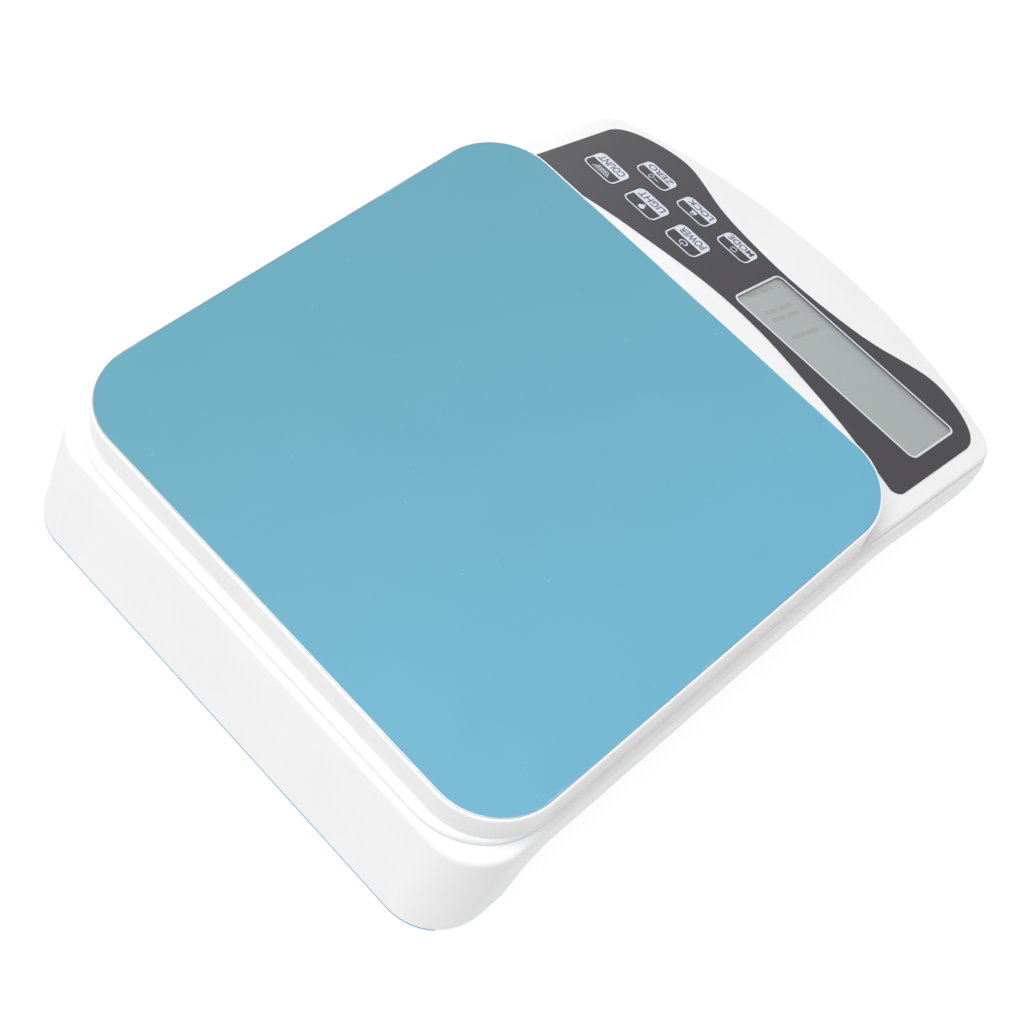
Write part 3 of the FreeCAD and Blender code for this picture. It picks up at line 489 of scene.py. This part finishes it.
class GRAMSCALE_PG_look(bpy.types.PropertyGroup):
    """Colours of the scale's parts."""
    housing: colour_property("Housing", "Upper housing and platform pan", srgb(243, 243, 244))
    base: colour_property("Base", "Base cover and battery door", srgb(74, 166, 212))
    # the two film colours are the ends of painted light across the film: darker at its front right
    # corner, lighter at its rear left one
    film_shaded_end: colour_property("Film, front right", "Protective film at its front right corner",
                               srgb(100, 163, 182))
    film_lit_end: colour_property("Film, rear left", "Protective film at its rear left corner",
                              srgb(106, 173, 199))
    film_mark: colour_property("Film marks", "Scuffs, specks and frayed edges", srgb(196, 220, 228))
    panel: colour_property("Panel", "Printed panel skin", srgb(64, 62, 68))
    key: colour_property("Key", "Dark field of the keys", srgb(58, 57, 62))
    print_light: colour_property("Light ink", "Key rings, symbols and window border", srgb(218, 222, 234))
    print_dark: colour_property("Dark ink", "Words on the keys", srgb(88, 92, 108))
    # the two display colours are the ends of painted sheen across the glass, lighter at its right end
    display: colour_property("Display, left", "Liquid-crystal glass at its left end",
                             srgb(160, 168, 166))
    display_lit_end: colour_property("Display, right", "Liquid-crystal glass at its right end",
                                 srgb(164, 172, 170))
    segment: colour_property("Resting segment", "Segments of the switched-off display",
                             srgb(154, 159, 155))
    window_alpha: FloatProperty(name="Window sheen", default=0.06, min=0.0, max=1.0, subtype="FACTOR",
                                description="How much the clear window veils the display")


class GRAMSCALE_PG_print(bpy.types.PropertyGroup):
    """Sizes of the printed details."""
    ring: FloatProperty(name="Key ring", description="Width of the ring round a key", default=0.62 * MM,
                        unit="LENGTH", subtype="DISTANCE")
    border: FloatProperty(name="Window border", description="Width of the border round the window",
                          default=0.8 * MM, unit="LENGTH", subtype="DISTANCE")
    thickness: FloatProperty(name="Ink", description="Thickness of the ink", default=0.03 * MM,
                             unit="LENGTH", subtype="DISTANCE")
    split: FloatProperty(name="Light field", default=0.5, subtype="FACTOR",
                         description="Share of a key's height that is the light field")
    symbol: FloatProperty(name="Symbol", description="Height of a key's symbol over its dark field",
                          default=0.72, subtype="FACTOR")
    word_height: FloatProperty(name="Word height", default=0.62, subtype="FACTOR",
                               description="Height of a key's word over its light field")
    word_width: FloatProperty(name="Word width", description="Width of a key's word over the key's width",
                              default=0.78, subtype="FACTOR")


class GRAMSCALE_PG_stage(bpy.types.PropertyGroup):
    """Floor, lights and camera."""
    camera_offset: FloatVectorProperty(
        name="Camera", description="Camera position from the middle of the film's top face", size=3,
        default=(-0.16411, 0.25754, 0.44494), unit="LENGTH", subtype="TRANSLATION")
    camera_turn: FloatVectorProperty(
        name="Camera turn", description="Camera rotation", size=3, subtype="EULER", unit="ROTATION",
        default=tuple(math.radians(a) for a in (31.206, -9.701, -133.884)))
    lens: FloatProperty(name="Lens", description="Focal length on a 36 mm wide sensor, in millimetres",
                        default=64.9)
    floor: colour_property("Floor", "Table top", srgb(97, 97, 97))
    world: FloatProperty(name="World", description="Strength of the surrounding white", default=0.36)
    floor_glow: FloatProperty(name="Floor light", description="Light given off by the white table",
                              default=0.88)


# ---- pieces -------------------------------------------------------------------------------------
class GRAMSCALE_OT_housing(bpy.types.Operator):
    """Finishes the upper housing."""
    bl_idname = "gramscale.housing"
    bl_label = "Housing"

    def execute(self, context):
        wear(["upper_housing"], moulded("housing_white", context.scene.gram_look.housing))
        return {"FINISHED"}


class GRAMSCALE_OT_platform(bpy.types.Operator):
    """Finishes the platform: pan, steel plate and the film on it."""
    bl_idname = "gramscale.platform"
    bl_label = "Platform"

    def execute(self, context):
        look = context.scene.gram_look
        wear(["platform_pan"], moulded("pan_white", look.housing, 0.3))
        wear(["platform_plate"], brushed("plate_steel", srgb(228, 229, 230), 0.36))
        wear(["protective_film"], film_finish(look))
        return {"FINISHED"}


class GRAMSCALE_OT_panel(bpy.types.Operator):
    """Finishes the panel skin and prints the border of its window."""
    bl_idname = "gramscale.panel"
    bl_label = "Control panel"
    corner_radius = 3.0 * MM
    least_radius = 0.3 * MM

    def execute(self, context):
        look, sizes = context.scene.gram_look, context.scene.gram_print
        wear(["panel_overlay"], printed_skin("panel_charcoal", look.panel))
        wear(["display_window"], clear_finish(look))
        low, high = panel_box("display_window")
        outer, width = self.corner_radius, sizes.border
        inner = max(outer - width, self.least_radius)
        loops = [rounded_loop(low.x, high.x, low.y, high.y, outer, outer),
                 rounded_loop(low.x + width, high.x - width, low.y + width, high.y - width, inner, inner)]
        border = printed("window_border", loops, sizes.thickness)
        lay_on_panel(border, 0, 0, high.z + sizes.thickness / 2, ink("ink_light", look.print_light),
                     "housing")
        return {"FINISHED"}


class GRAMSCALE_OT_keys(bpy.types.Operator):
    """Finishes the keys and prints a ring, a light field, a word and a symbol on each."""
    bl_idname = "gramscale.keys"
    bl_label = "Keys"
    flange = 1.0 * MM           # the part of a key that is hidden under the panel skin
    inset = 0.12 * MM           # bare edge between the key's visible top and its print
    corner_radius = 2.6 * MM

    def execute(self, context):
        look = context.scene.gram_look
        cap = printed_skin("key_charcoal", look.key)
        light, dark = ink("ink_key_light", look.print_light), ink("ink_key_dark", look.print_dark)
        for name, (word, symbol) in KEYS.items():
            wear([name], cap)
            self.print_key(context.scene.gram_print, name, word, symbol, light, dark)
        return {"FINISHED"}

    def print_key(self, sizes, name, word, symbol, light, dark):
        """The light print has a dark field cut out for the symbol; the word lies on what is left."""
        low, high = panel_box(name)
        middle_x, middle_y = (low.x + high.x) / 2, (low.y + high.y) / 2
        half_w = (high.x - low.x) / 2 - self.flange - self.inset
        half_h = (high.y - low.y) / 2 - self.flange - self.inset
        radius, ring, ink_depth = self.corner_radius, sizes.ring, sizes.thickness

        divide, dark_top = 2 * half_h * sizes.split - half_h, half_h - ring
        symbol_size, symbol_y = sizes.symbol * (dark_top - divide) / 2, (dark_top + divide) / 2
        loops = [rounded_loop(-half_w, half_w, -half_h, half_h, radius, radius),
                 rounded_loop(ring - half_w, half_w - ring, divide, dark_top, 0, radius - ring)]
        loops += [[(symbol_size * x, symbol_y + symbol_size * y) for x, y in loop] for loop in symbol()]
        face = printed(name + "_print", loops, ink_depth)
        lay_on_panel(face, middle_x, middle_y, high.z + ink_depth / 2, light, name)

        field_h = divide + half_h
        letters = lettered(name + "_word", word, field_h * sizes.word_height,
                           2 * half_w * sizes.word_width, ink_depth)
        lay_on_panel(letters, middle_x, middle_y - half_h + field_h / 2, high.z + 1.5 * ink_depth, dark,
                     name)


class GRAMSCALE_OT_display(bpy.types.Operator):
    """Finishes the liquid-crystal glass and lays on it the upright bars of two resting digits."""
    bl_idname = "gramscale.display"
    bl_label = "Display"
    from_end = 6.9 * MM         # from the window's right end to the last digit's middle
    pitch = 12.7 * MM
    digit_width = 9.0 * MM
    bar_length = 8.0 * MM
    bar_half_width = 0.85 * MM
    bar_gap = 0.2 * MM
    slant = 0.09

    def execute(self, context):
        look, sizes = context.scene.gram_look, context.scene.gram_print
        wear(["lcd_glass"], display_finish(look))
        low, high = panel_box("display_window")
        glass_top = panel_box("lcd_glass")[1].z
        middle_y = (low.y + high.y) / 2
        loops = []
        for digit in (0, 1):
            digit_x = high.x - self.from_end - digit * self.pitch
            for side in (-1, 1):
                for half in (-1, 1):
                    loops.append(self.bar(digit_x + side * self.digit_width / 2, middle_y,
                                          half * self.bar_length / 2))
        digits = printed("display_digits", loops, sizes.thickness)
        lay_on_panel(digits, 0, 0, glass_top + sizes.thickness / 2, ink("segment_rest", look.segment),
                     "housing")
        return {"FINISHED"}

    def bar(self, x, middle_y, above):
        """One upright bar with pointed ends, leaning as the digits do."""
        side, end = self.bar_half_width, self.bar_length / 2 - self.bar_gap
        outline = [(0, end), (side, end - side), (side, side - end), (0, -end), (-side, side - end),
                   (-side, end - side)]
        return [(x + px + self.slant * (above + py), middle_y + above + py) for px, py in outline]


class GRAMSCALE_OT_base(bpy.types.Operator):
    """Finishes what is underneath: base cover, battery door, feet and screws."""
    bl_idname = "gramscale.base"
    bl_label = "Base"

    def execute(self, context):
        base = moulded("base_blue", context.scene.gram_look.base, 0.42)
        wear(["base_cover", "battery_door"], base)
        wear(["rubber_feet", "platform_pads"], rubber_finish("feet_rubber", srgb(58, 58, 60)))
        wear(["case_screws", "pcb_screws", "spider_screws", "load_cell_screws", "overload_stops",
              "battery_contacts"], brushed("screw_zinc", srgb(176, 176, 172), 0.34))
        return {"FINISHED"}


class GRAMSCALE_OT_works(bpy.types.Operator):
    """Finishes the parts inside: load cell and bracket, board, wiring and battery."""
    bl_idname = "gramscale.works"
    bl_label = "Works"

    def execute(self, context):
        wear(["load_spider"], moulded("bracket_cast", srgb(168, 170, 173), 0.45, grain=0.9 * MM,
                                      depth=0.05 * MM, Metallic=0.9))
        wear(["load_cell", "load_cell_spacer", "spider_spacer"],
             brushed("load_cell_aluminium", srgb(204, 206, 210)))
        wear(["gauge_potting", "elastomer_strips"], rubber_finish("silicone_white", srgb(224, 224, 218)))
        wear(["lcd_frame", "controller_chip", "buzzer", "tact_switches"],
             moulded("plastic_black", srgb(34, 34, 36), 0.45))
        wear(["backlight_plate"], moulded("diffuser_milky", srgb(232, 236, 238), 0.25))
        wear(["cable_connector"], moulded("connector_ivory", srgb(228, 224, 210), 0.4))
        wear(["main_pcb"], board_finish())
        wear(["load_cell_cable", "battery_leads"], rubber_finish("lead_grey", srgb(96, 96, 98)))
        wear(["battery_cells"], sleeve_finish())
        return {"FINISHED"}


class GRAMSCALE_OT_stage(bpy.types.Operator):
    """Makes the table top, the lights and the camera."""
    bl_idname = "gramscale.stage"
    bl_label = "Stage"

    def execute(self, context):
        stage = context.scene.gram_stage
        self.make_floor(stage)
        self.make_world(context.scene, stage)
        low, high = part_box("protective_film")
        target = Vector(((low.x + high.x) / 2, (low.y + high.y) / 2, high.z))
        self.make_light("light_top", target, (0.13, 0.44, 1.6), size=1.2, power=25.4)
        self.make_light("light_front_right", target, (0.95, -1.32, 0.44), size=0.6, power=3.6)
        self.make_camera(context.scene, stage, target)
        context.scene.view_settings.view_transform = "Standard"
        return {"FINISHED"}

    def make_floor(self, stage):
        """A white table top that gives off light, and can be seen through from below."""
        half = 3.0
        mesh = bpy.data.meshes.new("table_top")
        corners = [(-half, -half, 0), (half, -half, 0), (half, half, 0), (-half, half, 0)]
        mesh.from_pydata(corners, [], [(0, 1, 2, 3)])
        floor = bpy.data.objects.new("table_top", mesh)
        bpy.context.scene.collection.objects.link(floor)
        finish = Finish("table_white", stage.floor, 0.6, Emission_Color=(1, 1, 1, 1),
                        Emission_Strength=stage.floor_glow)
        finish.feed("Alpha", 1 - finish.node("ShaderNodeNewGeometry", {}, {}, "Backfacing"))
        mesh.materials.append(finish.material)

    def make_world(self, scene, stage):
        """Even white light from all round."""
        world = bpy.data.worlds.new("surround")
        world.use_nodes = True
        background = world.node_tree.nodes["Background"]
        background.inputs["Color"].default_value = (1, 1, 1, 1)
        background.inputs["Strength"].default_value = stage.world
        scene.world = world

    def make_light(self, name, target, offset, size, power):
        """A square lamp at an offset from the target, turned towards it."""
        light = bpy.data.lights.new(name, "AREA")
        light.size = size
        light.energy = power
        holder = bpy.data.objects.new(name, light)
        holder.location = target + Vector(offset)
        holder.rotation_euler = (-Vector(offset)).to_track_quat("-Z", "Y").to_euler()
        bpy.context.scene.collection.objects.link(holder)

    def make_camera(self, scene, stage, target):
        """The camera stands at an offset from the target, at a turn of its own."""
        data = bpy.data.cameras.new("camera")
        data.sensor_width = 36.0
        data.lens = stage.lens
        data.clip_start = 0.01
        camera = bpy.data.objects.new("camera", data)
        camera.location = target + Vector(stage.camera_offset)
        camera.rotation_euler = Euler(stage.camera_turn, "XYZ")
        scene.collection.objects.link(camera)
        scene.camera = camera


class GRAMSCALE_PT_panel(bpy.types.Panel):
    """The scale's pieces and settings in the sidebar."""
    bl_idname = "GRAMSCALE_PT_panel"
    bl_label = "Gram scale"
    bl_space_type = "VIEW_3D"
    bl_region_type = "UI"
    bl_category = "Gram scale"

    def draw(self, context):
        for operator in OPERATORS:
            self.layout.operator(operator.bl_idname)
        for group in (context.scene.gram_look, context.scene.gram_print, context.scene.gram_stage):
            column = self.layout.column()
            for name in group.__annotations__:
                column.prop(group, name)


OPERATORS = (GRAMSCALE_OT_housing, GRAMSCALE_OT_platform, GRAMSCALE_OT_panel, GRAMSCALE_OT_keys,
             GRAMSCALE_OT_display, GRAMSCALE_OT_base, GRAMSCALE_OT_works, GRAMSCALE_OT_stage)
GROUPS = {
    "gram_look": GRAMSCALE_PG_look,
    "gram_print": GRAMSCALE_PG_print,
    "gram_stage": GRAMSCALE_PG_stage,
}


def register():
    for made in (*GROUPS.values(), *OPERATORS, GRAMSCALE_PT_panel):
        bpy.utils.register_class(made)
    for name, group in GROUPS.items():
        setattr(bpy.types.Scene, name, PointerProperty(type=group))


def unregister():
    for name in GROUPS:
        delattr(bpy.types.Scene, name)
    for made in (GRAMSCALE_PT_panel, *reversed(OPERATORS), *GROUPS.values()):
        bpy.utils.unregister_class(made)


def main():
    register()
    bpy.ops.gramscale.housing()
    bpy.ops.gramscale.platform()
    bpy.ops.gramscale.panel()
    bpy.ops.gramscale.keys()
    bpy.ops.gramscale.display()
    bpy.ops.gramscale.base()
    bpy.ops.gramscale.works()
    bpy.ops.gramscale.stage()


if __name__ == "__main__":
    main()
